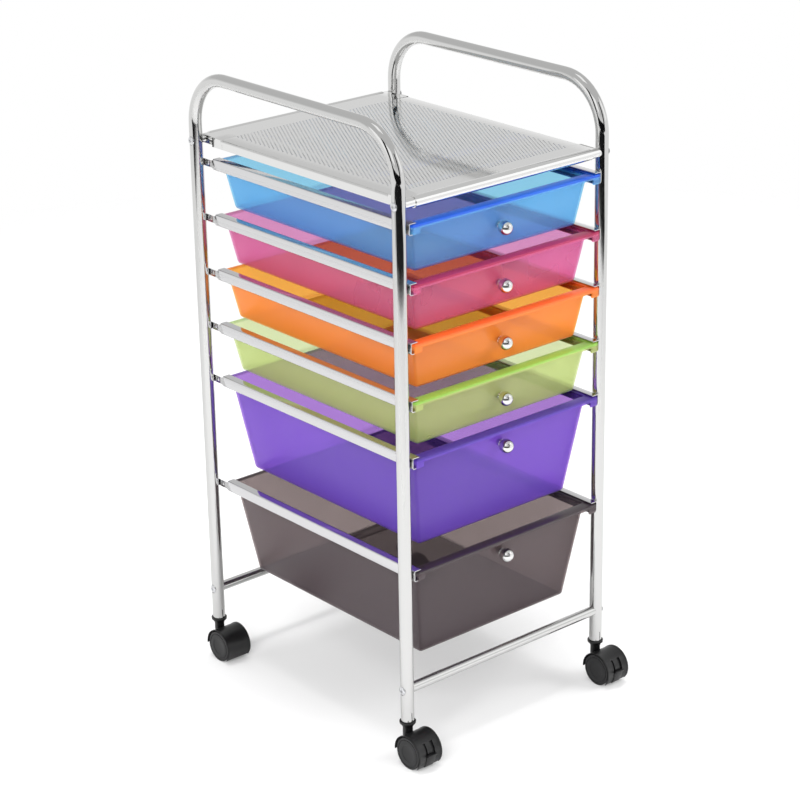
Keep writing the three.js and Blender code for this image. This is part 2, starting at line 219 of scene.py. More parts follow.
frame_low, frame_high = node_corners("left_frame_tube")
LEG_X = -(frame_low.x + TUBE_RADIUS)
FRONT_Y = frame_low.y + TUBE_RADIUS
REAR_Y = frame_high.y - TUBE_RADIUS
LEG_BOTTOM = frame_low.z
HANDLE_Z = frame_high.z - TUBE_RADIUS
BAR_Z = sum(corner.z for corner in node_corners("front_lower_bar")) / 2
TRAY_SCREW_Z = sum(corner.z for corner in node_corners("front_left_tray_screw")) / 2

# Bright chrome over polished tube: near mirror, with faint polishing wipes in the gloss.
bright_chrome = plated_metal("bright_chrome_plate", CHROME, 0.036, 0.09, 14, 3.0)

start_piece()
bpy.ops.mesh.primitive_circle_add(
    vertices=TUBE_SIDES, radius=TUBE_RADIUS, location=(-LEG_X, REAR_Y, LEG_BOTTOM),
)
left_frame = bpy.context.object
bpy.ops.object.transform_apply(location=True)
bpy.ops.object.mode_set(mode="EDIT")
bpy.ops.mesh.select_all(action="SELECT")
leg_length = HANDLE_Z - BEND_RADIUS - LEG_BOTTOM
bpy.ops.mesh.extrude_region_move(TRANSFORM_OT_translate={"value": (0, 0, leg_length)})
bpy.ops.mesh.spin(
    steps=BEND_STEPS, angle=-math.pi / 2, axis=(1, 0, 0),
    center=(-LEG_X, REAR_Y - BEND_RADIUS, HANDLE_Z - BEND_RADIUS),
)
grip_length = REAR_Y - FRONT_Y - 2 * BEND_RADIUS
bpy.ops.mesh.extrude_region_move(TRANSFORM_OT_translate={"value": (0, -grip_length, 0)})
bpy.ops.mesh.spin(
    steps=BEND_STEPS, angle=-math.pi / 2, axis=(1, 0, 0),
    center=(-LEG_X, FRONT_Y + BEND_RADIUS, HANDLE_Z - BEND_RADIUS),
)
bpy.ops.mesh.extrude_region_move(TRANSFORM_OT_translate={"value": (0, 0, -leg_length)})
face_outwards()
bpy.ops.object.mode_set(mode="OBJECT")
apply_modifier("SOLIDIFY", thickness=TUBE_WALL, offset=-1)

seats = []
outer_x = -LEG_X - TUBE_RADIUS
for y in (FRONT_Y, REAR_Y):
    for z in (BAR_Z, TRAY_SCREW_Z):
        seat_start = (outer_x - CUT_OVERSHOOT, y, z)
        seats.append(rod(SCREW_SEAT_RADIUS, seat_start, (outer_x + SCREW_SEAT_DEPTH, y, z)))
    face_y = y - TUBE_RADIUS
    slit_low = (-LEG_X - SLIT_WIDTH / 2, face_y - CUT_OVERSHOOT, LEG_BOTTOM + SLIT_LOW)
    seats.append(box(slit_low, (-LEG_X + SLIT_WIDTH / 2, face_y + SLIT_DEPTH, LEG_BOTTOM + SLIT_HIGH)))
carve(left_frame, seats)
right_frame = copy_of(left_frame, Vector(), mirror=True)
settle(left_frame, "left_frame", "frame", bright_chrome, "chrome_frame", "left_frame_tube")
settle(right_frame, "right_frame", "frame", bright_chrome, "chrome_frame", "right_frame_tube")

# Rails: C channels folded from chromed sheet, a pair for each drawer. Their webs are welded to the
# legs' inner sides and their lips turn inwards; behind, the web runs on as a flat pinched tab.
RAIL_SHEET = 0.0009
RAIL_LIP = 0.010
RAIL_FOLD = 0.0008
RAIL_REAR_GAP = 0.021
RAIL_MOUTH = 0.0075
TAB_HEIGHT = 0.0086
TAB_TAPER = 0.003
WELD_RADIUS = 0.0026
WELD_FLATNESS = 0.3
WELD_SETBACK = 0.010
SAME_PLACE = 1e-5


def pick(chosen, kind="VERT"):
    """In edit mode, selects only the vertices, edges or faces whose middle passes the test."""
    mesh = bmesh.from_edit_mesh(bpy.context.object.data)
    bpy.context.tool_settings.mesh_select_mode = [kind == word for word in ("VERT", "EDGE", "FACE")]
    bpy.ops.mesh.select_all(action="DESELECT")
    for part in {"VERT": mesh.verts, "EDGE": mesh.edges, "FACE": mesh.faces}[kind]:
        verts = [part] if kind == "VERT" else list(part.verts)
        middle = sum((vert.co for vert in verts), Vector()) / len(verts)
        if chosen(middle, part):
            part.select_set(True)
    mesh.select_flush_mode()
    bmesh.update_edit_mesh(bpy.context.object.data)


def join_to(piece, others):
    """Joins other meshes into the piece, which stays active."""
    take_up(piece)
    for other in others:
        other.select_set(True)
    bpy.ops.object.join()


rail_low, rail_high = node_corners("left_rail_1")
rail_front = FRONT_Y - RAIL_MOUTH
rail_rear = REAR_Y - RAIL_REAR_GAP
rail_height = rail_high.z - rail_low.z
rail_mid_z = (rail_low.z + rail_high.z) / 2
# Chrome over rolled sheet: a little softer than the tube, so its streaks are broader.
folded_chrome = plated_metal("chromed_folded_sheet", "d8d8d9", 0.048, 0.12, 22, 3.0)

start_piece()
web_x = rail_low.x + RAIL_SHEET
bpy.ops.mesh.primitive_plane_add(size=1, rotation=(0, -math.pi / 2, 0))
left_rail = bpy.context.object
left_rail.scale = (rail_height, rail_rear - rail_front, 1)
left_rail.location = (web_x, (rail_front + rail_rear) / 2, rail_mid_z)
bpy.ops.object.transform_apply(location=True, rotation=True, scale=True)
bpy.ops.object.mode_set(mode="EDIT")
for level in (rail_low.z, rail_high.z):
    pick(lambda middle, edge: abs(middle.z - level) < SAME_PLACE, "EDGE")
    bpy.ops.mesh.extrude_region_move(TRANSFORM_OT_translate={"value": (RAIL_LIP - RAIL_SHEET, 0, 0)})
face_outwards()
pick(
    lambda middle, edge: abs(middle.x - web_x) < SAME_PLACE
    and abs(middle.z - rail_mid_z) > TAB_HEIGHT / 2,
    "EDGE",
)
bpy.ops.mesh.bevel(offset=RAIL_FOLD, segments=3, affect="EDGES")
pick(
    lambda middle, edge: abs(middle.x - web_x) < SAME_PLACE and abs(middle.y - rail_rear) < SAME_PLACE,
    "EDGE",
)
bpy.ops.mesh.extrude_region_move(TRANSFORM_OT_translate={"value": (0, TAB_TAPER, 0)})
bpy.ops.transform.resize(
    value=(1, 1, TAB_HEIGHT / (rail_height - 2 * RAIL_FOLD)),
    center_override=(web_x, rail_rear, rail_mid_z),
)
tab_length = rail_high.y - rail_rear - TAB_TAPER
bpy.ops.mesh.extrude_region_move(TRANSFORM_OT_translate={"value": (0, tab_length, 0)})
bpy.ops.mesh.select_all(action="SELECT")
bpy.ops.mesh.normals_make_consistent(inside=False)
bpy.ops.object.mode_set(mode="OBJECT")
web_normal = min(left_rail.data.polygons, key=lambda face: abs(face.center.z - rail_mid_z)).normal.x
apply_modifier("SOLIDIFY", thickness=RAIL_SHEET, offset=1 if web_normal < 0 else -1)
start_piece()
bpy.ops.mesh.primitive_uv_sphere_add(
    segments=20, ring_count=10, radius=WELD_RADIUS,
    location=(rail_low.x, rail_rear + WELD_SETBACK, rail_mid_z), scale=(WELD_FLATNESS, 1, 1),
)
join_to(left_rail, [bpy.context.object])

for number in range(1, 7):
    drop = Vector((0, 0, node_corners(f"left_rail_{number}")[0].z - rail_low.z))
    for side in ("left", "right"):
        rail = copy_of(left_rail, drop, mirror=side == "right")
        name = f"{side}_rail_{number}"
        settle(rail, f"{name}_channel", "frame", folded_chrome, "chrome_rail", name)
bpy.data.objects.remove(left_rail)

# Top tray: one chromed steel sheet, punched with staggered rows of small holes and folded down into a
# flange at each side. Its front and rear edges are rolled round a tube that meets the legs.
HOLE_PITCH = 0.005
HOLE_BORDER = 0.0016
HOLE_COLUMNS = 51
HOLE_ROW_PAIRS = 36
FIELD_REAR_BORDER = 0.0395
TRAY_SHEET = 0.0006
TRAY_SINK = 0.0011
TRAY_FLANGE = 0.0119
TRAY_TAB = 0.0097
TRAY_FOLD = 0.0035
TRAY_CLEARANCE = 0.0003
ROLL_RADIUS = 0.00675
ROLL_EDGE = 0.0006
ROLL_RIM = 0.0008
ROLL_DISH = 0.0006
STUB_RADIUS = 0.0057
STUB_LENGTH = 0.0125
LEG_CLEARANCE = 0.0001
LEG_CUT_REACH = 0.02


def leg_cutters(y, z):
    """Rods in the places of two legs, which hollow the ends of a bar so that it sits round them."""
    return [
        rod(TUBE_RADIUS + LEG_CLEARANCE, (x, y, z - LEG_CUT_REACH), (x, y, z + LEG_CUT_REACH), 48)
        for x in (-LEG_X, LEG_X)
    ]


tray_top = node_corners("top_tray")[1].z
sheet_z = tray_top - TRAY_SINK - TRAY_SHEET
roll_z = tray_top - ROLL_RADIUS
# Chrome over punched sheet, set paler than the frame's chrome: a painted brightening for the bright room's
# ceiling that it mirrors.
tray_chrome_painted_pale = plated_metal("chromed_perforated_sheet", "e6e6e5", 0.042, 0.105, 18, 3.0)

start_piece()
row_step = HOLE_PITCH * math.sqrt(3) / 2
field_left = -HOLE_COLUMNS * HOLE_PITCH / 2
field_rear = REAR_Y - FIELD_REAR_BORDER
field_front = field_rear - (2 * HOLE_ROW_PAIRS - 1) * row_step
bpy.ops.mesh.primitive_circle_add(
    vertices=6, radius=HOLE_PITCH / math.sqrt(3), fill_type="NGON",
    location=(field_left + HOLE_PITCH / 4, field_front, sheet_z),
)
tray = bpy.context.object
bpy.ops.object.transform_apply(location=True)
bpy.ops.object.mode_set(mode="EDIT")
bpy.ops.mesh.select_all(action="SELECT")
bpy.ops.mesh.duplicate_move(TRANSFORM_OT_translate={"value": (HOLE_PITCH / 2, row_step, 0)})
bpy.ops.object.mode_set(mode="OBJECT")
for count, step in ((HOLE_COLUMNS, (HOLE_PITCH, 0, 0)), (HOLE_ROW_PAIRS, (0, 2 * row_step, 0))):
    apply_modifier(
        "ARRAY", count=count, use_relative_offset=False, use_constant_offset=True,
        constant_offset_displace=step, use_merge_vertices=True, merge_threshold=SAME_PLACE,
    )
bpy.ops.object.mode_set(mode="EDIT")
bpy.ops.mesh.select_all(action="SELECT")
bpy.ops.mesh.remove_doubles(threshold=SAME_PLACE)
side_x = LEG_X - TUBE_RADIUS - TRAY_CLEARANCE - TRAY_SHEET
ragged_x = -field_left - HOLE_PITCH * 0.8
for side in (-1, 1):
    pick(lambda middle, edge: edge.is_boundary and side * middle.x > ragged_x, "EDGE")
    bpy.ops.mesh.extrude_region_move()
    bpy.ops.transform.resize(value=(0, 1, 1), center_override=(side * side_x, 0, sheet_z))
pick(lambda middle, edge: edge.is_boundary and middle.y < field_front, "EDGE")
bpy.ops.mesh.extrude_region_move()
bpy.ops.transform.resize(value=(1, 0, 1), center_override=(0, FRONT_Y, sheet_z))
pick(lambda middle, edge: edge.is_boundary and middle.y > field_rear, "EDGE")
for reach in (rail_rear, REAR_Y):
    bpy.ops.mesh.extrude_region_move()
    bpy.ops.transform.resize(value=(1, 0, 1), center_override=(0, reach, sheet_z))
for start_y, end_y, drop in ((FRONT_Y, rail_rear, TRAY_FLANGE), (rail_rear, REAR_Y, TRAY_TAB)):
    pick(
        lambda middle, edge: abs(abs(middle.x) - side_x) < SAME_PLACE and start_y < middle.y < end_y
        and abs(middle.z - sheet_z) < SAME_PLACE,
        "EDGE",
    )
    bpy.ops.mesh.extrude_region_move(TRANSFORM_OT_translate={"value": (0, 0, TRAY_SHEET - drop)})
pick(lambda middle, face: len(face.verts) == 6, "FACE")
bpy.ops.mesh.inset(thickness=HOLE_BORDER, use_individual=True)
bpy.ops.mesh.delete(type="FACE")
bpy.ops.mesh.select_all(action="SELECT")
bpy.ops.mesh.normals_make_consistent(inside=False)
pick(
    lambda middle, edge: abs(abs(middle.x) - side_x) < SAME_PLACE
    and abs(middle.z - sheet_z) < SAME_PLACE and len(edge.link_faces) == 2,
    "EDGE",
)
bpy.ops.mesh.bevel(offset=TRAY_FOLD, segments=4, affect="EDGES")
bpy.ops.object.mode_set(mode="OBJECT")
top_normal = max(tray.data.polygons, key=lambda face: abs(face.normal.z)).normal.z
apply_modifier("SOLIDIFY", thickness=TRAY_SHEET, offset=1 if top_normal > 0 else -1)

rolls = []
roll_half = LEG_X - TUBE_RADIUS - STUB_LENGTH
for y in (FRONT_Y, REAR_Y):
    roll = rod(ROLL_RADIUS, (-roll_half, y, roll_z), (roll_half, y, roll_z), TUBE_SIDES)
    bpy.ops.object.mode_set(mode="EDIT")
    pick(lambda middle, face: abs(middle.x) > roll_half - SAME_PLACE, "FACE")
    bpy.ops.mesh.bevel(offset=ROLL_EDGE, segments=2, affect="EDGES")
    pick(lambda middle, face: abs(middle.x) > roll_half - SAME_PLACE, "FACE")
    bpy.ops.mesh.inset(thickness=ROLL_RIM)
    bpy.ops.mesh.extrude_region_move()
    dish = (roll_half - ROLL_DISH) / roll_half
    bpy.ops.transform.resize(value=(dish, 1, 1), center_override=(0, y, roll_z))
    stub = rod(STUB_RADIUS, (-LEG_X, y, roll_z), (LEG_X, y, roll_z), TUBE_SIDES)
    carve(stub, leg_cutters(y, roll_z))
    rolls += [roll, stub]
join_to(tray, rolls)
settle(tray, "perforated_tray", "frame", tray_chrome_painted_pale, "chrome_tray", "top_tray", angle=35)

# Lower bars: two round chromed bars that tie the side frames together just above the castors.
# Each end is hollowed to sit round the leg and held by a screw from outside.
BAR_RADIUS = 0.00625

for end, y in (("front", FRONT_Y), ("rear", REAR_Y)):
    bar = rod(BAR_RADIUS, (-LEG_X, y, BAR_Z), (LEG_X, y, BAR_Z), TUBE_SIDES)
    carve(bar, leg_cutters(y, BAR_Z))
    settle(bar, f"{end}_tie_bar", "frame", bright_chrome, "chrome_frame", f"{end}_lower_bar")

# Screws: round-headed plated steel, with a cross recess. Two go through each leg from outside, one
# into the tray's rolled edge and one into the lower bar.
SCREW_HEAD_RADIUS = 0.0054
SCREW_HEAD_HEIGHT = 0.0017
SHANK_RADIUS = 0.0024
SHANK_LENGTH = 0.014
CROSS_WIDTH = 0.0011
CROSS_SPAN = 0.0046
CROSS_FLOOR = 0.45

# Zinc-plated steel: a duller metal, its gloss broken by fine grain from the forming die.
screw_steel = plated_metal("zinc_plated_steel", "d9dadc", 0.18, 0.34, 0.8, 2.0)


def round_head(radius, height, shank_radius, shank_length):
    """A domed screw head on a shank, pointing along +Z from the origin, with a cross recess."""
    start_piece()
    bpy.ops.mesh.primitive_uv_sphere_add(segments=32, ring_count=16, radius=radius)
    head = bpy.context.object
    bpy.ops.object.mode_set(mode="EDIT")
    bpy.ops.mesh.select_all(action="SELECT")
    bpy.ops.mesh.bisect(plane_co=(0, 0, 0), plane_no=(0, 0, 1), use_fill=True, clear_inner=True)
    bpy.ops.mesh.select_all(action="SELECT")
    bpy.ops.transform.resize(value=(1, 1, height / radius), center_override=(0, 0, 0))
    pick(lambda middle, face: middle.z < SAME_PLACE and face.normal.z < -0.9, "FACE")
    bpy.ops.mesh.inset(thickness=radius - shank_radius)
    bpy.ops.mesh.extrude_region_move(TRANSFORM_OT_translate={"value": (0, 0, -shank_length)})
    face_outwards()
    bars = []
    for span_x, span_y in ((CROSS_SPAN, CROSS_WIDTH), (CROSS_WIDTH, CROSS_SPAN)):
        low = (-span_x / 2, -span_y / 2, height * CROSS_FLOOR)
        bars.append(box(low, (span_x / 2, span_y / 2, height * 2)))
    carve(head, bars)
    return head


frame_screw = round_head(SCREW_HEAD_RADIUS, SCREW_HEAD_HEIGHT, SHANK_RADIUS, SHANK_LENGTH)
frame_screw.data.transform(Matrix.Rotation(-math.pi / 2, 4, "Y"))
seat_x = LEG_X + TUBE_RADIUS - SCREW_SEAT_DEPTH
for end, y in (("front", FRONT_Y), ("rear", REAR_Y)):
    for kind, z in (("tray", TRAY_SCREW_Z), ("bar", BAR_Z)):
        for side, x in (("left", -seat_x), ("right", seat_x)):
            screw = copy_of(frame_screw, Vector((x, y, z)), mirror=side == "right")
            name = f"{end}_{side}_{kind}_screw"
            settle(screw, f"{name}_head", "frame", screw_steel, "screw_steel", name)
bpy.data.objects.remove(frame_screw)

# Drawers: tubs moulded in tinted translucent polypropylene, four shallow and two deep. All four walls
# draw in towards the floor. The rim turns out into a flange whose sides run in the rails, and in front
# it folds down into a band with an ear at each end that covers the rail's mouth.
DRAWER_WALL = 0.002
DRAWER_EDGE = 0.0005
DRAWER_MIDDLE_Y = 0.0026
RIM_REACH = 0.0125
RIM_BAND = 0.005
RIM_LIP = 0.0066
RIM_LIP_WALL = 0.0018
RAIL_PLAY = 0.0015
RUNNER_PLAY = 0.0003
REAR_FLANGE = 0.0015
LIP_SETBACK = 0.008
FOOT_SETBACK = 0.030
CORNER_RADIUS = 0.0045
FLOOR_RADIUS = 0.004
SIDE_DRAW = {"small": 0.19, "deep": 0.157}
END_DRAW = 0.14
EAR_WIDTH = 0.011
EAR_DROP = 0.011
EAR_INSET = 0.0026
# Bands painted a deeper, hazier colour: one at the rim, partly for its doubled plastic and partly as
# painted shade under the flange, and one at the round of the floor, darker towards the bottom.
RIM_SHADE = (0.0034, 0.0022)
FLOOR_SHADE = (0.0045, 0.001)
FLOW_MM = 60
FLOW_SHADE = 0.12
BAND_HAZE = 0.35
# Each drawer's colour, the share of haze in its outer and inner skin, its deep and pale tone, and the
# tint of the light that passes through.
DRAWER_TINTS = {
    1: ("blue", 0.26, 0.11, "1f5ad6", "8ec0f6", "c7edfa"),
    2: ("pink", 0.29, 0.12, "b02a56", "f486aa", "f1c9e6"),
    3: ("orange", 0.43, 0.18, "fb7028", "ffa04c", "ffde98"),
    4: ("green", 0.28, 0.12, "98cc58", "e0e69e", "edf4da"),
    5: ("purple", 0.34, 0.14, "4f33a0", "8e6aea", "d4b8e7"),
    6: ("grey", 0.40, 0.40, "352b30", "62575d", "dcd2d0"),
}


def tinted_polypropylene(name, haze, inner_haze, deep, pale, clear, low_z, high_z):
    """Clear tinted plastic with a glossy skin: thin walls show what is behind them in the tint. A band at
    the doubled rim is painted a deeper, hazier colour, partly for the extra plastic and partly as painted
    shade for the dark gap under the flange, and a band at the round of the floor is painted deeper towards
    the bottom.
    Most of the haze sits in the outer skin, so that the inside stays light."""
    material, tree, surface = new_material(name)
    place = add_node(tree, "ShaderNodeTexCoord").outputs
    height = add_node(tree, "ShaderNodeSeparateXYZ", links={"Vector": place["Object"]}).outputs["Z"]
    # Painted shade at the rim band, partly standing for its doubled plastic.
    rim = add_node(
        tree, "ShaderNodeMapRange",
        {"From Min": high_z - RIM_SHADE[0], "From Max": high_z - RIM_SHADE[1]}, {"Value": height},
    )
    # Painted deeper tone at the round of the floor, darker towards the bottom.
    round_edge = add_node(
        tree, "ShaderNodeMapRange",
        {"From Min": low_z + FLOOR_SHADE[0], "From Max": low_z + FLOOR_SHADE[1], "To Max": 0.9},
        {"Value": height},
    )
    rim_and_floor_band = add_node(
        tree, "ShaderNodeMath", {"operation": "MAXIMUM"},
        {0: rim.outputs["Result"], 1: round_edge.outputs["Result"]},
    )
    flow = add_node(
        tree, "ShaderNodeTexNoise", {"Scale": 1000 / FLOW_MM, "Detail": 2.0, "Roughness": 0.4},
        {"Vector": place["Object"]},
    )
    drift = add_node(tree, "ShaderNodeMapRange", {"To Max": FLOW_SHADE}, {"Value": flow.outputs["Fac"]})
    depth = add_node(
        tree, "ShaderNodeMath", {"operation": "ADD", "use_clamp": True},
        {0: rim_and_floor_band.outputs[0], 1: drift.outputs["Result"]},
    )
    tone = add_node(
        tree, "ShaderNodeMix", {"data_type": "RGBA", 6: colour(pale), 7: colour(deep)},
        {0: depth.outputs[0]},
    )
    share = add_node(
        tree, "ShaderNodeMapRange", {"To Min": haze, "To Max": haze + BAND_HAZE},
        {"Value": depth.outputs[0]},
    )
    from_middle = add_node(
        tree, "ShaderNodeVectorMath",
        {"operation": "SUBTRACT", 1: (0, DRAWER_MIDDLE_Y, (low_z + high_z) / 2)}, {0: place["Object"]},
    )
    facing = add_node(
        tree, "ShaderNodeVectorMath", {"operation": "DOT_PRODUCT"},
        {0: from_middle.outputs["Vector"], 1: place["Normal"]},
    )
    outside = add_node(
        tree, "ShaderNodeMapRange",
        {"From Min": -0.001, "From Max": 0.001, "To Min": inner_haze / haze},
        {"Value": facing.outputs["Value"]},
    )
    skin = add_node(
        tree, "ShaderNodeMath", {"operation": "MULTIPLY"},
        {0: share.outputs["Result"], 1: outside.outputs["Result"]},
    )
    body = add_node(
        tree, "ShaderNodeBsdfPrincipled", {"Roughness": 0.28, "IOR": 1.75},
        {"Base Color": tone.outputs[2]},
    )
    through = add_node(tree, "ShaderNodeBsdfTransparent", {"Color": colour(clear)})
    blend = add_node(
        tree, "ShaderNodeMixShader",
        links={0: skin.outputs[0], 1: through.outputs["BSDF"], 2: body.outputs["BSDF"]},
    )
    tree.links.new(blend.outputs["Shader"], surface)
    return material


def soften_edges(width, segments, sharper_than):
    """Rounds the active piece's edges that are sharper than an angle in degrees."""
    apply_modifier(
        "BEVEL", width=width, segments=segments, limit_method="ANGLE",
        angle_limit=math.radians(sharper_than),
    )


def drawer_tub(number, kind):
    """The tub of one drawer, drawn out of a block at its CAD node's place."""
    low, high = node_corners(f"drawer_{number}")
    wall_x = LEG_X - TUBE_RADIUS - RAIL_LIP - RAIL_PLAY
    ear_x = high.x - EAR_INSET
    rim_z = high.z - DRAWER_WALL
    front = low.y + RIM_REACH
    rear = high.y - REAR_FLANGE
    height = rim_z - low.z
    tub = box((-wall_x, front, low.z), (wall_x, rear, rim_z))
    bpy.ops.object.mode_set(mode="EDIT")
    pick(lambda middle, vert: middle.z < low.z + SAME_PLACE)
    narrow_x = (wall_x - height * SIDE_DRAW[kind]) / wall_x
    narrow_y = 1 - 2 * height * END_DRAW / (rear - front)
    bpy.ops.transform.resize(
        value=(narrow_x, narrow_y, 1), center_override=(0, (front + rear) / 2, low.z),
    )
    pick(lambda middle, face: middle.z > rim_z - SAME_PLACE, "FACE")
    bpy.ops.mesh.delete(type="FACE")
    pick(lambda middle, edge: abs(edge.verts[0].co.z - edge.verts[1].co.z) > height / 2, "EDGE")
    bpy.ops.mesh.bevel(offset=CORNER_RADIUS, segments=6, affect="EDGES")
    pick(lambda middle, edge: max(v.co.z for v in edge.verts) < low.z + SAME_PLACE, "EDGE")
    bpy.ops.mesh.bevel(offset=FLOOR_RADIUS, segments=4, affect="EDGES")
    pick(lambda middle, edge: min(v.co.z for v in edge.verts) > rim_z - SAME_PLACE, "EDGE")
    bpy.ops.mesh.extrude_region_move()
    band_y = low.y + DRAWER_WALL
    stretch = (high.y - band_y) / (rear - front)
    still_y = (band_y - front * stretch) / (1 - stretch)
    bpy.ops.transform.resize(value=(ear_x / wall_x, stretch, 1), center_override=(0, still_y, rim_z))
    pick(lambda middle, edge: edge.is_boundary and middle.y < band_y + CORNER_RADIUS * 1.03, "EDGE")
    bpy.ops.mesh.extrude_region_move(TRANSFORM_OT_translate={"value": (0, 0, DRAWER_WALL - RIM_BAND)})
    bpy.ops.mesh.select_all(action="SELECT")
    bpy.ops.mesh.normals_make_consistent(inside=False)
    bpy.ops.object.mode_set(mode="OBJECT")
    floor = min(tub.data.polygons, key=lambda face: face.center.z)
    inward = -1 if floor.normal.z < 0 else 1
    apply_modifier("SOLIDIFY", thickness=DRAWER_WALL, offset=inward, use_even_offset=True)
    soften_edges(DRAWER_EDGE, 2, 50)
    rail_floor = high.z - rail_height + 2 * (RAIL_SHEET + RUNNER_PLAY)
    lip_x = high.x - RIM_LIP_WALL
    lip_y = rail_low.y + LIP_SETBACK
    ear = ((ear_x - EAR_WIDTH, low.y, high.z - EAR_DROP), (ear_x, band_y, high.z))
    lip = ((lip_x, lip_y, high.z - RIM_LIP), (high.x, high.y, high.z))
    foot = ((lip_x, lip_y + FOOT_SETBACK, rail_floor), (high.x, high.y, high.z - RIM_LIP))
    pieces = []
    for side in (-1, 1):
        for near, far in (ear, lip, foot):
            ends = sorted((side * near[0], side * far[0]))
            pieces.append(box((ends[0], *near[1:]), (ends[1], *far[1:])))
            apply_modifier("BEVEL", width=DRAWER_EDGE, segments=2)
    join_to(tub, pieces)
    return tub


masters = {"small": (1, drawer_tub(1, "small")), "deep": (5, drawer_tub(5, "deep"))}
for number, (tint_name, *tint) in DRAWER_TINTS.items():
    first, tub = masters["small" if number < 5 else "deep"]
    node = f"drawer_{number}"
    low, high = node_corners(node)
    plastic = tinted_polypropylene(f"{tint_name}_polypropylene", *tint, low.z, high.z)
    drawer = copy_of(tub, Vector((0, 0, low.z - node_corners(f"drawer_{first}")[0].z)))
    settle(drawer, f"{tint_name}_drawer", node, plastic, f"{tint_name}_plastic", node)
for first, tub in masters.values():
    bpy.data.objects.remove(tub)

# Knobs: turned balls on a short waisted neck, polished and chromed, one on each drawer front. A screw
# with a wide washer head holds each from inside and shows through the plastic.
KNOB_RADIUS = 0.00875
KNOB_WAIST = 0.0038
KNOB_NECK = 0.0002
KNOB_FOOT_RADIUS = 0.00475
KNOB_FOOT = 0.0013
KNOB_SINK = 0.0003
KNOB_EDGE = 0.0003
KNOB_STAND_OFF = 0.0102
KNOB_SCREW_RADIUS = 0.0046
KNOB_SCREW_HEIGHT = 0.0024
KNOB_SHANK_RADIUS = 0.0021
KNOB_SHANK_LENGTH = 0.001

# Chrome over a turned and buffed ball: the cleanest mirror on the cart.
knob_chrome = plated_metal("polished_chrome_knob", "e8e8e7", 0.027, 0.0675, 6, 3.0)
knob_low, knob_high = node_corners("knob_1")
knob_tilt = math.atan(END_DRAW)
ball_y = knob_low.y + KNOB_RADIUS
ball_z = (knob_low.z + knob_high.z) / 2
start_piece()
bpy.ops.mesh.primitive_uv_sphere_add(segments=40, ring_count=24, radius=KNOB_RADIUS)
knob = bpy.context.object
bpy.ops.object.mode_set(mode="EDIT")
level = -math.sqrt(KNOB_RADIUS ** 2 - KNOB_WAIST ** 2)
bpy.ops.mesh.select_all(action="SELECT")
bpy.ops.mesh.bisect(plane_co=(0, 0, level), plane_no=(0, 0, 1), use_fill=True, clear_inner=True)
foot_level = KNOB_SINK - KNOB_STAND_OFF
foot_top = foot_level + KNOB_FOOT
widen = KNOB_FOOT_RADIUS / KNOB_WAIST
for lower, width in ((foot_top + KNOB_NECK, 1), (foot_top, widen), (foot_level, 1)):
    pick(lambda middle, face: face.normal.z < -0.9 and len(face.verts) > 8, "FACE")
    bpy.ops.mesh.extrude_region_move(TRANSFORM_OT_translate={"value": (0, 0, lower - level)})
    bpy.ops.transform.resize(value=(width, width, 1), center_override=(0, 0, lower))
    level = lower
face_outwards()
bpy.ops.object.mode_set(mode="OBJECT")
soften_edges(KNOB_EDGE, 2, 40)
knob.data.transform(
    Matrix.Translation((0, ball_y, ball_z)) @ Matrix.Rotation(math.pi / 2 + knob_tilt, 4, "X")
)
knob_screw = round_head(KNOB_SCREW_RADIUS, KNOB_SCREW_HEIGHT, KNOB_SHANK_RADIUS, KNOB_SHANK_LENGTH)
stand = KNOB_STAND_OFF + DRAWER_WALL
knob_screw.data.transform(
    Matrix.Translation((0, ball_y + stand * math.cos(knob_tilt), ball_z + stand * math.sin(knob_tilt)))
    @ Matrix.Rotation(-math.pi / 2 + knob_tilt, 4, "X")
)
for number in range(1, 7):
    shift = node_corners(f"knob_{number}")[0] - knob_low
    body = f"drawer_{number}"
    ball = copy_of(knob, shift)
    settle(ball, f"ball_knob_{number}", body, knob_chrome, "chrome_knob", f"knob_{number}")
    settle(copy_of(knob_screw, shift), f"knob_screw_{number}", body, screw_steel, "screw_steel")
bpy.data.objects.remove(knob)
bpy.data.objects.remove(knob_screw)

# Castor sockets: black nylon cups, moulded and pushed onto the foot of each leg. Each narrows to a
# collar over the pin on which its castor turns.
SOCKET_RADIUS = 0.010
SOCKET_OVERLAP = 0.0014
SOCKET_WALL = 0.0017
SOCKET_EDGE = 0.0003
SOCKET_STEPS = ((0.0030, 0.98), (0.0009, 0.74), (0.0030, 0.95))
GRAIN_MM = 0.6
PATCH_MM = 9


def moulded_nylon(name, tone, worn, roughness):
    """Black moulded nylon: satin, with a fine spark-eroded grain and slightly paler flow patches."""
    material, tree, surface = new_material(name)
    place = add_node(tree, "ShaderNodeTexCoord").outputs["Object"]
    grain = add_node(
        tree, "ShaderNodeTexNoise", {"Scale": 1000 / GRAIN_MM, "Detail": 2.0}, {"Vector": place},
    )
    patches = add_node(
        tree, "ShaderNodeTexNoise", {"Scale": 1000 / PATCH_MM, "Detail": 3.0}, {"Vector": place},
    )
    blotched = add_node(
        tree, "ShaderNodeMix", {"data_type": "RGBA", 6: colour(tone), 7: colour(worn)},
        {0: patches.outputs["Fac"]},
    )
    relief = add_node(
        tree, "ShaderNodeBump", {"Strength": 0.2, "Distance": 0.0001}, {"Height": grain.outputs["Fac"]},
    )
    body = add_node(
        tree, "ShaderNodeBsdfPrincipled", {"Roughness": roughness, "IOR": 1.53},
        {"Base Color": blotched.outputs[2], "Normal": relief.outputs["Normal"]},
    )
    tree.links.new(body.outputs["BSDF"], surface)
    return material


hood_nylon = moulded_nylon("black_moulded_nylon", "0a0a0b", "131314", 0.34)
castor_feet = {
    f"{end}_{side}_castor": Vector((x, y, 0))
    for end, y in (("front", FRONT_Y), ("rear", REAR_Y))
    for side, x in (("left", -LEG_X), ("right", LEG_X))
}

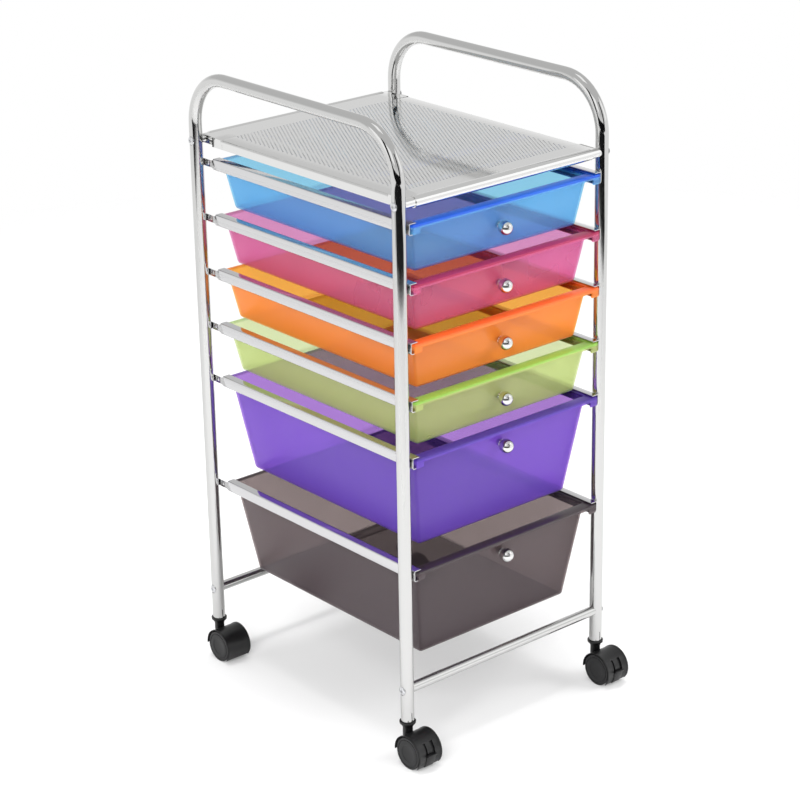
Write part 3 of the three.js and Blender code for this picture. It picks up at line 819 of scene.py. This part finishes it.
start_piece()
level = LEG_BOTTOM + SOCKET_OVERLAP
bpy.ops.mesh.primitive_circle_add(vertices=36, radius=SOCKET_RADIUS, location=(0, 0, level))
socket = bpy.context.object
bpy.ops.object.transform_apply(location=True)
bpy.ops.object.mode_set(mode="EDIT")
pick(lambda middle, vert: True)
for drop, width in SOCKET_STEPS:
    bpy.ops.mesh.extrude_region_move(TRANSFORM_OT_translate={"value": (0, 0, -drop)})
    level -= drop
    bpy.ops.transform.resize(value=(width, width, 1), center_override=(0, 0, level))
face_outwards()
bpy.ops.object.mode_set(mode="OBJECT")
apply_modifier("SOLIDIFY", thickness=SOCKET_WALL, offset=-1)
soften_edges(SOCKET_EDGE, 2, 50)
for castor, foot in castor_feet.items():
    node = f"{castor}_socket"
    settle(copy_of(socket, foot), f"{node}_cup", "frame", hood_nylon, "black_plastic", node)
bpy.data.objects.remove(socket)

# Castor hoods: one black nylon moulding each, a curved cover with a raised edge round each wheel, a web
# between the wheels and a round stem whose pin turns in the socket. The front pair is slotted for a brake.
WHEEL_RADIUS = 0.020
WHEEL_GAP = 0.007
CASTOR_TRAIL = 0.019
HOOD_INNER = 0.0208
HOOD_OUTER = 0.0228
HOOD_HALF = 0.0178
HOOD_FROM = math.radians(-40)
HOOD_TO = math.radians(184)
HOOD_EDGE = 0.0004
RAISED_WIDTH = 0.0022
RAISED_HEIGHT = 0.0004
STEM_RADIUS = 0.0055
STEM_LOW = 0.026
STEM_HIGH = 0.0442
STEM_FLARE = 1.12
WEB_OVERLAP = 0.0005
WEB_CUT_DROP = 0.006
WEB_CUT_SLOPE = 0.35
BRAKE_SLOT = ((-0.0073, -0.034, 0.0004), (0.0073, -0.0150, 0.0175))
AXLE = Vector((0, -CASTOR_TRAIL, WHEEL_RADIUS))


def castor_hood(braked):
    """A hood at its own leg's axis, x and y zero, the wheels trailing to the front."""
    start_piece()
    bpy.ops.mesh.primitive_cylinder_add(
        vertices=96, radius=HOOD_OUTER - RAISED_HEIGHT, depth=2 * HOOD_HALF, end_fill_type="NOTHING",
        location=AXLE, rotation=(0, math.pi / 2, 0),
    )
    shell = bpy.context.object
    bpy.ops.object.transform_apply(location=True, rotation=True)
    bpy.ops.object.mode_set(mode="EDIT")

    def turn(point):
        angle = math.atan2(point.z - AXLE.z, AXLE.y - point.y)
        return angle if angle > HOOD_FROM - 0.5 else angle + 2 * math.pi

    pick(lambda middle, face: not HOOD_FROM < turn(middle) < HOOD_TO, "FACE")
    bpy.ops.mesh.delete(type="FACE")
    raised_x = HOOD_HALF - RAISED_WIDTH
    for side in (-1, 1):
        bpy.ops.mesh.select_all(action="SELECT")
        bpy.ops.mesh.bisect(plane_co=(side * raised_x, 0, 0), plane_no=(1, 0, 0))
    pick(lambda middle, face: abs(middle.x) > raised_x + SAME_PLACE, "FACE")
    bpy.ops.mesh.extrude_region_shrink_fatten(TRANSFORM_OT_shrink_fatten={"value": RAISED_HEIGHT})
    bpy.ops.mesh.select_all(action="SELECT")
    bpy.ops.mesh.normals_make_consistent(inside=False)
    bpy.ops.object.mode_set(mode="OBJECT")
    apply_modifier("SOLIDIFY", thickness=HOOD_OUTER - HOOD_INNER - RAISED_HEIGHT, offset=-1)
    soften_edges(HOOD_EDGE, 2, 40)
    stem = rod(STEM_RADIUS, (0, 0, STEM_LOW), (0, 0, STEM_HIGH))
    bpy.ops.object.mode_set(mode="EDIT")
    pick(lambda middle, vert: middle.z < STEM_LOW + SAME_PLACE)
    bpy.ops.transform.resize(value=(STEM_FLARE, STEM_FLARE, 1), center_override=(0, 0, STEM_LOW))
    half_hood = Vector((HOOD_HALF, 0, 0))
    carve(stem, [rod(HOOD_INNER, AXLE - half_hood, AXLE + half_hood, 64)])
    half_gap = Vector((WHEEL_GAP / 2, 0, 0))
    web = rod(HOOD_INNER + WEB_OVERLAP, AXLE - half_gap, AXLE + half_gap, 64)
    bpy.ops.object.mode_set(mode="EDIT")
    bpy.ops.mesh.select_all(action="SELECT")
    bpy.ops.mesh.bisect(
        plane_co=AXLE - Vector((0, 0, WEB_CUT_DROP)), plane_no=(0, WEB_CUT_SLOPE, 1),
        use_fill=True, clear_inner=True,
    )
    face_outwards()
    if braked:
        slot_low, slot_high = (AXLE + Vector(corner) for corner in BRAKE_SLOT)
        carve(shell, [box(slot_low, slot_high)])
    join_to(shell, [stem, web])
    return shell


hoods = {"front": castor_hood(True), "rear": castor_hood(False)}
for castor, foot in castor_feet.items():
    hood = copy_of(hoods[castor.split("_")[0]], foot)
    settle(hood, f"{castor}_cover", f"{castor}_swivel", hood_nylon, "black_plastic", f"{castor}_hood")
for hood in hoods.values():
    bpy.data.objects.remove(hood)

# Castor axles: plain steel pins, pressed through the hood's web and hidden by the wheels. The CAD
# pins are kept as they are and only take a steel finish.
# Drawn steel: grey and dull, with fine grain from the die.
axle_steel = plated_metal("drawn_axle_steel", "b9bcc1", 0.18, 0.34, 0.8, 2.0)
for castor in castor_feet:
    axle_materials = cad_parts[f"{castor}_axle"].data.materials
    axle_materials.clear()
    axle_materials.append(axle_steel)

# Castor wheels: dark nylon discs, moulded with a rounded tread and a shallow dished face inside a
# raised ring. Two run on each axle, one on either side of the web.
WHEEL_WIDTH = 0.013
WHEEL_PLAY = 0.0003
WHEEL_EDGE = 0.0007
WHEEL_FACE = ((0.0028, -0.0008), (0.0007, 0.0009), (0.006, -0.0004))
WHEEL_BACK = ((0.006, 0.003),)

wheel_nylon = moulded_nylon("dark_wheel_nylon", "0e0e0f", "18181a", 0.46)
start_piece()
bpy.ops.mesh.primitive_cylinder_add(vertices=72, radius=WHEEL_RADIUS, depth=WHEEL_WIDTH)
wheel = bpy.context.object
bpy.ops.object.mode_set(mode="EDIT")
for way, steps in ((1, WHEEL_FACE), (-1, WHEEL_BACK)):
    pick(lambda middle, face: way * face.normal.z > 0.9, "FACE")
    for border, shift in steps:
        bpy.ops.mesh.inset(thickness=border)
        bpy.ops.mesh.extrude_region_move(TRANSFORM_OT_translate={"value": (0, 0, shift)})
face_outwards()
bpy.ops.object.mode_set(mode="OBJECT")
soften_edges(WHEEL_EDGE, 3, 50)
wheel.data.transform(Matrix.Rotation(math.pi / 2, 4, "Y"))
wheel_x = (WHEEL_GAP + WHEEL_WIDTH) / 2 + WHEEL_PLAY
for castor, foot in castor_feet.items():
    for side, x in (("left", -wheel_x), ("right", wheel_x)):
        node = f"{castor}_{side}_wheel"
        disc = copy_of(wheel, foot + AXLE + Vector((x, 0, 0)), mirror=side == "left")
        settle(disc, f"{node}_disc", node, wheel_nylon, "wheel_plastic", node)
bpy.data.objects.remove(wheel)

# Brake levers: black nylon flaps on the front pair, each curved like the hood and hinged in its slot,
# with a toe to press or lift.
LEVER_FROM = math.radians(2)
LEVER_TO = math.radians(46)
LEVER_HALF = 0.007
LEVER_RADIUS = HOOD_OUTER + 0.0004
LEVER_THICKNESS = 0.0022
LEVER_EDGE = 0.0005
TOE_OUT = 0.0030
TOE_OVERLAP = 0.0006
TOE_LOW = 0.0009
TOE_HIGH = 0.0031

start_piece()
bpy.ops.mesh.primitive_plane_add(size=2 * LEVER_HALF)
lever = bpy.context.object
bpy.ops.object.mode_set(mode="EDIT")
pick(lambda middle, vert: middle.y > 0)
bpy.ops.mesh.delete(type="VERT")
bpy.ops.mesh.select_all(action="SELECT")
edge_y = AXLE.y - LEVER_RADIUS * math.cos(LEVER_FROM)
edge_z = AXLE.z + LEVER_RADIUS * math.sin(LEVER_FROM)
bpy.ops.transform.translate(value=(0, edge_y + LEVER_HALF, edge_z))
bpy.ops.mesh.spin(steps=14, angle=LEVER_FROM - LEVER_TO, axis=(1, 0, 0), center=AXLE)
bpy.ops.mesh.select_all(action="SELECT")
bpy.ops.mesh.remove_doubles(threshold=1e-6)
bpy.ops.object.mode_set(mode="OBJECT")
top_face = max(lever.data.polygons, key=lambda face: face.center.z)
apply_modifier("SOLIDIFY", thickness=LEVER_THICKNESS, offset=-1 if top_face.normal.z > 0 else 1)
toe_y = AXLE.y - LEVER_RADIUS
toe_low = (-LEVER_HALF, toe_y - TOE_OUT, AXLE.z + TOE_LOW)
toe = box(toe_low, (LEVER_HALF, toe_y + TOE_OVERLAP, AXLE.z + TOE_HIGH))
join_to(lever, [toe])
soften_edges(LEVER_EDGE, 2, 50)
for castor in ("front_left_castor", "front_right_castor"):
    node = f"{castor}_brake_lever"
    flap = copy_of(lever, castor_feet[castor])
    settle(flap, f"{node}_flap", node, hood_nylon, "black_plastic", node)
bpy.data.objects.remove(lever)

# Studio: white paper on the floor, a white room and large soft lamps. Dark cloth lies and hangs beyond
# the paper on the camera's side, out of sight, with a narrow flag at either hand, so that the chrome has
# something dark to mirror.
PAPER_TONE = "d2d2d2"
PAPER_REACH = 2.2
PAPER_LIFT = 0.34
ROOM_LIGHT = 0.52
CEILING_RISE = (0.05, 0.35)
CEILING_SHADE = 0.34
CLOTH_TONE = "141415"
CLOTH_NEAR = 1.95
CLOTH_FADE = 0.35
CLOTH_TURN = math.radians(-40)
FLAG_TURNS = {"left_flag": math.radians(-82), "right_flag": math.radians(2)}
LAMP_AIM = Vector((0, 0, 0.4))
LAMP_WHITE = 1.25


def white_paper():
    """White paper that fades into the white room, lifted a little for the camera so that only the soft
    shadow shows on it."""
    material, tree, surface = new_material("white_paper")
    path = add_node(tree, "ShaderNodeLightPath")
    seen = add_node(
        tree, "ShaderNodeMath", {"operation": "MULTIPLY", 1: PAPER_LIFT},
        {0: path.outputs["Is Camera Ray"]},
    )
    paper = add_node(tree, "ShaderNodeBsdfDiffuse", {"Color": colour(PAPER_TONE)})
    lift = add_node(
        tree, "ShaderNodeEmission", {"Color": colour(PAPER_TONE)}, {"Strength": seen.outputs[0]},
    )
    both = add_node(
        tree, "ShaderNodeAddShader", links={0: paper.outputs["BSDF"], 1: lift.outputs["Emission"]},
    )
    place = add_node(tree, "ShaderNodeTexCoord")
    away = add_node(
        tree, "ShaderNodeVectorMath", {"operation": "LENGTH"}, {"Vector": place.outputs["Object"]},
    )
    fade = add_node(
        tree, "ShaderNodeMapRange", {"From Min": PAPER_REACH / 2, "From Max": PAPER_REACH},
        {"Value": away.outputs["Value"]},
    )
    beyond = add_node(tree, "ShaderNodeBsdfTransparent")
    blend = add_node(
        tree, "ShaderNodeMixShader",
        links={0: fade.outputs["Result"], 1: both.outputs["Shader"], 2: beyond.outputs["BSDF"]},
    )
    tree.links.new(blend.outputs["Shader"], surface)
    return material


def only_reflected(piece):
    """Keeps a piece of the stage out of everything but reflections."""
    for sight in ("camera", "shadow", "diffuse", "transmission"):
        setattr(piece, f"visible_{sight}", False)
    piece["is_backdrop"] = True


def dark_cloth(name, low, high, turn):
    """A sheet of dark cloth between two corners, turned about the cart, that only reflections meet."""
    cloth = box(low, high)
    cloth.name = name
    cloth.data.transform(Matrix.Rotation(turn, 4, "Z"))
    material, tree, surface = new_material(f"{name}_black_cloth")
    weave = add_node(tree, "ShaderNodeBsdfDiffuse", {"Color": colour(CLOTH_TONE)})
    place = add_node(tree, "ShaderNodeTexCoord")
    away = add_node(
        tree, "ShaderNodeVectorMath", {"operation": "LENGTH"}, {"Vector": place.outputs["Object"]},
    )
    edge = add_node(
        tree, "ShaderNodeMapRange", {"From Min": CLOTH_NEAR, "From Max": CLOTH_NEAR + CLOTH_FADE},
        {"Value": away.outputs["Value"]},
    )
    beside = add_node(tree, "ShaderNodeBsdfTransparent")
    blend = add_node(
        tree, "ShaderNodeMixShader",
        links={0: edge.outputs["Result"], 1: beside.outputs["BSDF"], 2: weave.outputs["BSDF"]},
    )
    tree.links.new(blend.outputs["Shader"], surface)
    cloth.data.materials.append(material)
    only_reflected(cloth)


def soft_lamp(name, place, size, power):
    """A large square softbox pointed at the cart; the chrome mirrors its cloth at plain white."""
    light = bpy.data.lights.new(name, "AREA")
    light.shape = "SQUARE"
    light.size = size
    light.energy = power
    lamp = bpy.data.objects.new(name, light)
    bpy.context.scene.collection.objects.link(lamp)
    lamp.location = place
    lamp.rotation_euler = (LAMP_AIM - Vector(place)).to_track_quat("-Z", "Y").to_euler()
    lamp.visible_glossy = False
    start_piece()
    bpy.ops.mesh.primitive_plane_add(size=size, location=place, rotation=lamp.rotation_euler)
    panel = bpy.context.object
    panel.name = f"{name}_panel"
    bpy.ops.object.transform_apply(location=True, rotation=True)
    material, tree, surface = new_material(f"{name}_lit_cloth")
    glow = add_node(tree, "ShaderNodeEmission", {"Color": colour("ffffff"), "Strength": LAMP_WHITE})
    tree.links.new(glow.outputs["Emission"], surface)
    panel.data.materials.append(material)
    only_reflected(panel)


start_piece()
bpy.ops.mesh.primitive_plane_add(size=2 * PAPER_REACH + 0.2, location=(0, 0, 0))
floor = bpy.context.object
floor.name = "floor"
floor.data.materials.append(white_paper())
floor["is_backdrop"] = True

world = bpy.data.worlds.new("white_room")
bpy.context.scene.world = world
world.use_nodes = True
tree = world.node_tree
tree.nodes.clear()
path = add_node(tree, "ShaderNodeLightPath").outputs
seen = add_node(
    tree, "ShaderNodeMath", {"operation": "MAXIMUM"},
    {0: path["Is Camera Ray"], 1: path["Is Glossy Ray"]},
)
clear = add_node(
    tree, "ShaderNodeMath", {"operation": "MAXIMUM"},
    {0: seen.outputs[0], 1: path["Is Transmission Ray"]},
)
strength = add_node(tree, "ShaderNodeMapRange", {"To Min": ROOM_LIGHT}, {"Value": clear.outputs[0]})
place = add_node(tree, "ShaderNodeTexCoord")
rise = add_node(tree, "ShaderNodeSeparateXYZ", links={"Vector": place.outputs["Generated"]})
ceiling = add_node(
    tree, "ShaderNodeMapRange",
    {"From Min": CEILING_RISE[0], "From Max": CEILING_RISE[1], "To Max": CEILING_SHADE},
    {"Value": rise.outputs["Z"]},
)
shade = add_node(
    tree, "ShaderNodeMath", {"operation": "MULTIPLY"},
    {0: ceiling.outputs["Result"], 1: path["Is Glossy Ray"]},
)
dimmed = add_node(
    tree, "ShaderNodeMath", {"operation": "SUBTRACT"},
    {0: strength.outputs["Result"], 1: shade.outputs[0]},
)
room = add_node(
    tree, "ShaderNodeBackground", {"Color": colour("ffffff")}, {"Strength": dimmed.outputs[0]},
)
add_node(tree, "ShaderNodeOutputWorld", links={"Surface": room.outputs["Background"]})

dark_cloth("cloth_floor", (-2.2, -4.2, 0.002), (2.2, -1.0, 0.004), CLOTH_TURN)
dark_cloth("cloth_wall", (-5.0, -4.3, 0), (5.0, -4.25, 1.2), CLOTH_TURN)
for name, turn in FLAG_TURNS.items():
    dark_cloth(name, (-0.6, -4.2, 1.1), (0.6, -4.15, 4.5), turn)
soft_lamp("key", (-2.7, -2.0, 2.7), 1.8, 105)
soft_lamp("fill", (2.2, -2.2, 1.9), 1.8, 60)
soft_lamp("side", (-3.2, 0.9, 1.7), 1.6, 34)
soft_lamp("top", (0.05, 0.1, 3.4), 1.1, 92)

# Camera: a long lens a little above the tray, looking at the front left corner, as in the photograph.
VIEW_AZIMUTH = math.radians(-40.23)
VIEW_HEIGHT = math.radians(21.51)
VIEW_ROLL = math.radians(-1.03)
VIEW_DISTANCE = 3.048
VIEW_AIM = Vector((-0.0008, 0.0183, 0.365))
LENS_PIXELS = 2464
IMAGE_PIXELS = 800

lens = bpy.data.cameras.new("camera")
lens.sensor_width = 36
lens.lens = lens.sensor_width * LENS_PIXELS / IMAGE_PIXELS
lens.clip_end = 100
camera = bpy.data.objects.new("camera", lens)
bpy.context.scene.collection.objects.link(camera)
away = Vector((
    math.sin(VIEW_AZIMUTH) * math.cos(VIEW_HEIGHT),
    -math.cos(VIEW_AZIMUTH) * math.cos(VIEW_HEIGHT),
    math.sin(VIEW_HEIGHT),
))
turn = (
    Matrix.Rotation(VIEW_AZIMUTH, 4, "Z")
    @ Matrix.Rotation(math.pi / 2 - VIEW_HEIGHT, 4, "X")
    @ Matrix.Rotation(VIEW_ROLL, 4, "Z")
)
camera.matrix_world = Matrix.Translation(VIEW_AIM + VIEW_DISTANCE * away) @ turn
bpy.context.scene.camera = camera
bpy.context.scene.view_settings.view_transform = "Standard"
# Light crosses many plastic walls in a row here, so it may pass more of them than by default.
bpy.context.scene.cycles.transparent_max_bounces = 48
bpy.context.scene.cycles.diffuse_bounces = 8

low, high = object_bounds()
